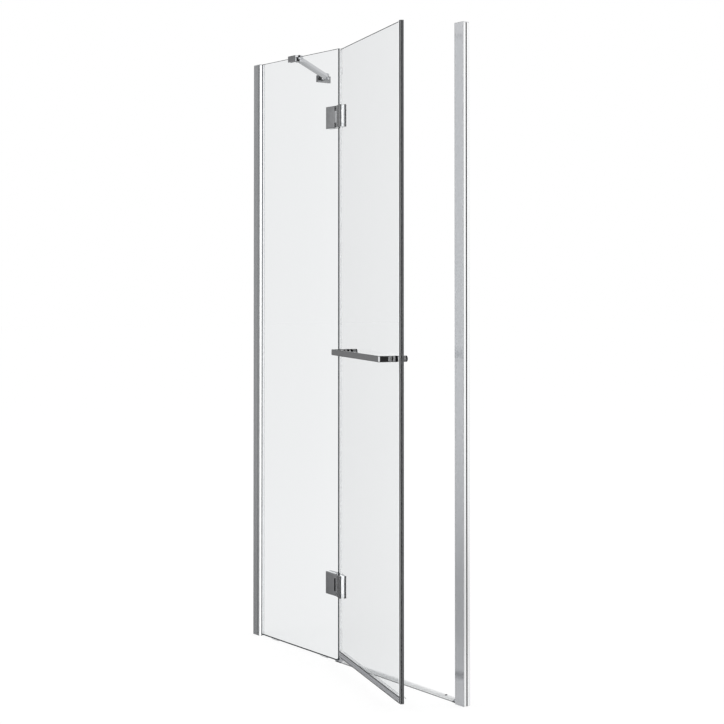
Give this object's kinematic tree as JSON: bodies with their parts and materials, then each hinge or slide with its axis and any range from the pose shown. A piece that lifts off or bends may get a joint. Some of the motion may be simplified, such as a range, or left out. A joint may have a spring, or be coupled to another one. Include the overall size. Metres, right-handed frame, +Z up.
{
  "type": "hinged shower door",
  "caption": "In-line shower enclosure front: fixed glass panel, outward-opening hinged glass door, wall profiles, low threshold and a wall brace.",
  "frame": {"origin": "on the left wall at floor level, in the middle of the glass thickness", "axes": "+X along the closed door plane from the left wall to the right wall, -Y outside the shower, +Z up"},
  "size_m": [1.088, 0.541, 1.961],
  "materials": {
    "satin_aluminium": "silver anodised, satin, drawn along the profile",
    "grey_caps": "grey moulded plastic",
    "chrome": "polished chrome plate",
    "steel": "stainless steel",
    "dark_screws": "black oxide screws",
    "fixed_pane": "clear toughened glass with polished edges",
    "door_pane": "clear toughened glass with polished edges",
    "clear_plastic": "clear flexible plastic",
    "dark_gasket": "dark rubber",
    "magnet": "dark flexible magnet",
    "black_nylon": "black nylon"
  },
  "bodies": {
    "frame": {"left_wall_channel": "satin_aluminium", "left_glass_profile": "satin_aluminium", "left_profile_cap": "grey_caps", "left_profile_screws": "steel", "left_screw_covers": "chrome", "left_glass_gaskets": "clear_plastic", "fixed_glass": "fixed_pane", "glass_setting_blocks": "clear_plastic", "right_wall_channel": "satin_aluminium", "right_strike_profile": "satin_aluminium", "right_profile_cap": "grey_caps", "right_profile_screws": "steel", "right_screw_covers": "chrome", "strike_magnet_seal": "clear_plastic", "strike_magnet_strip": "magnet", "threshold_strip": "satin_aluminium", "threshold_left_block": "satin_aluminium", "threshold_right_block": "satin_aluminium", "threshold_screws": "dark_screws", "brace_wall_flange": "chrome", "brace_forks": "chrome", "brace_pivot_pins": "steel", "brace_bar": "chrome", "brace_glass_clamp": "chrome", "brace_clamp_liner": "dark_gasket", "brace_clamp_screws": "steel", "upper_hinge_fixed_leaf": "chrome", "upper_hinge_fixed_plate": "chrome", "upper_hinge_fixed_gaskets": "clear_plastic", "upper_hinge_fixed_screws": "steel", "upper_hinge_pin": "steel", "lower_hinge_fixed_leaf": "chrome", "lower_hinge_fixed_plate": "chrome", "lower_hinge_fixed_gaskets": "clear_plastic", "lower_hinge_fixed_screws": "steel", "lower_hinge_pin": "steel"},
    "door": {"upper_hinge_door_leaf": "chrome", "upper_hinge_door_plate": "chrome", "upper_hinge_door_gaskets": "clear_plastic", "upper_hinge_door_screws": "steel", "upper_hinge_bushes": "black_nylon", "lower_hinge_door_leaf": "chrome", "lower_hinge_door_plate": "chrome", "lower_hinge_door_gaskets": "clear_plastic", "lower_hinge_door_screws": "steel", "lower_hinge_bushes": "black_nylon", "door_glass": "door_pane", "hinge_edge_seals": "clear_plastic", "door_magnet_seal": "clear_plastic", "door_magnet_strip": "magnet", "door_bottom_rail": "satin_aluminium", "rail_end_caps": "grey_caps", "door_drip_seal": "clear_plastic", "handle_bar": "chrome", "handle_bases": "chrome", "handle_knobs": "chrome", "handle_washers": "clear_plastic", "handle_bolts": "steel"}
  },
  "joints": [
    {"name": "door_swing", "type": "hinge", "parent": "frame", "child": "door", "pos_m": [0.4785, -0.009, 0.987], "axis": [0, 0, -1], "range_deg": [-18.4, 81.6]}
  ]
}
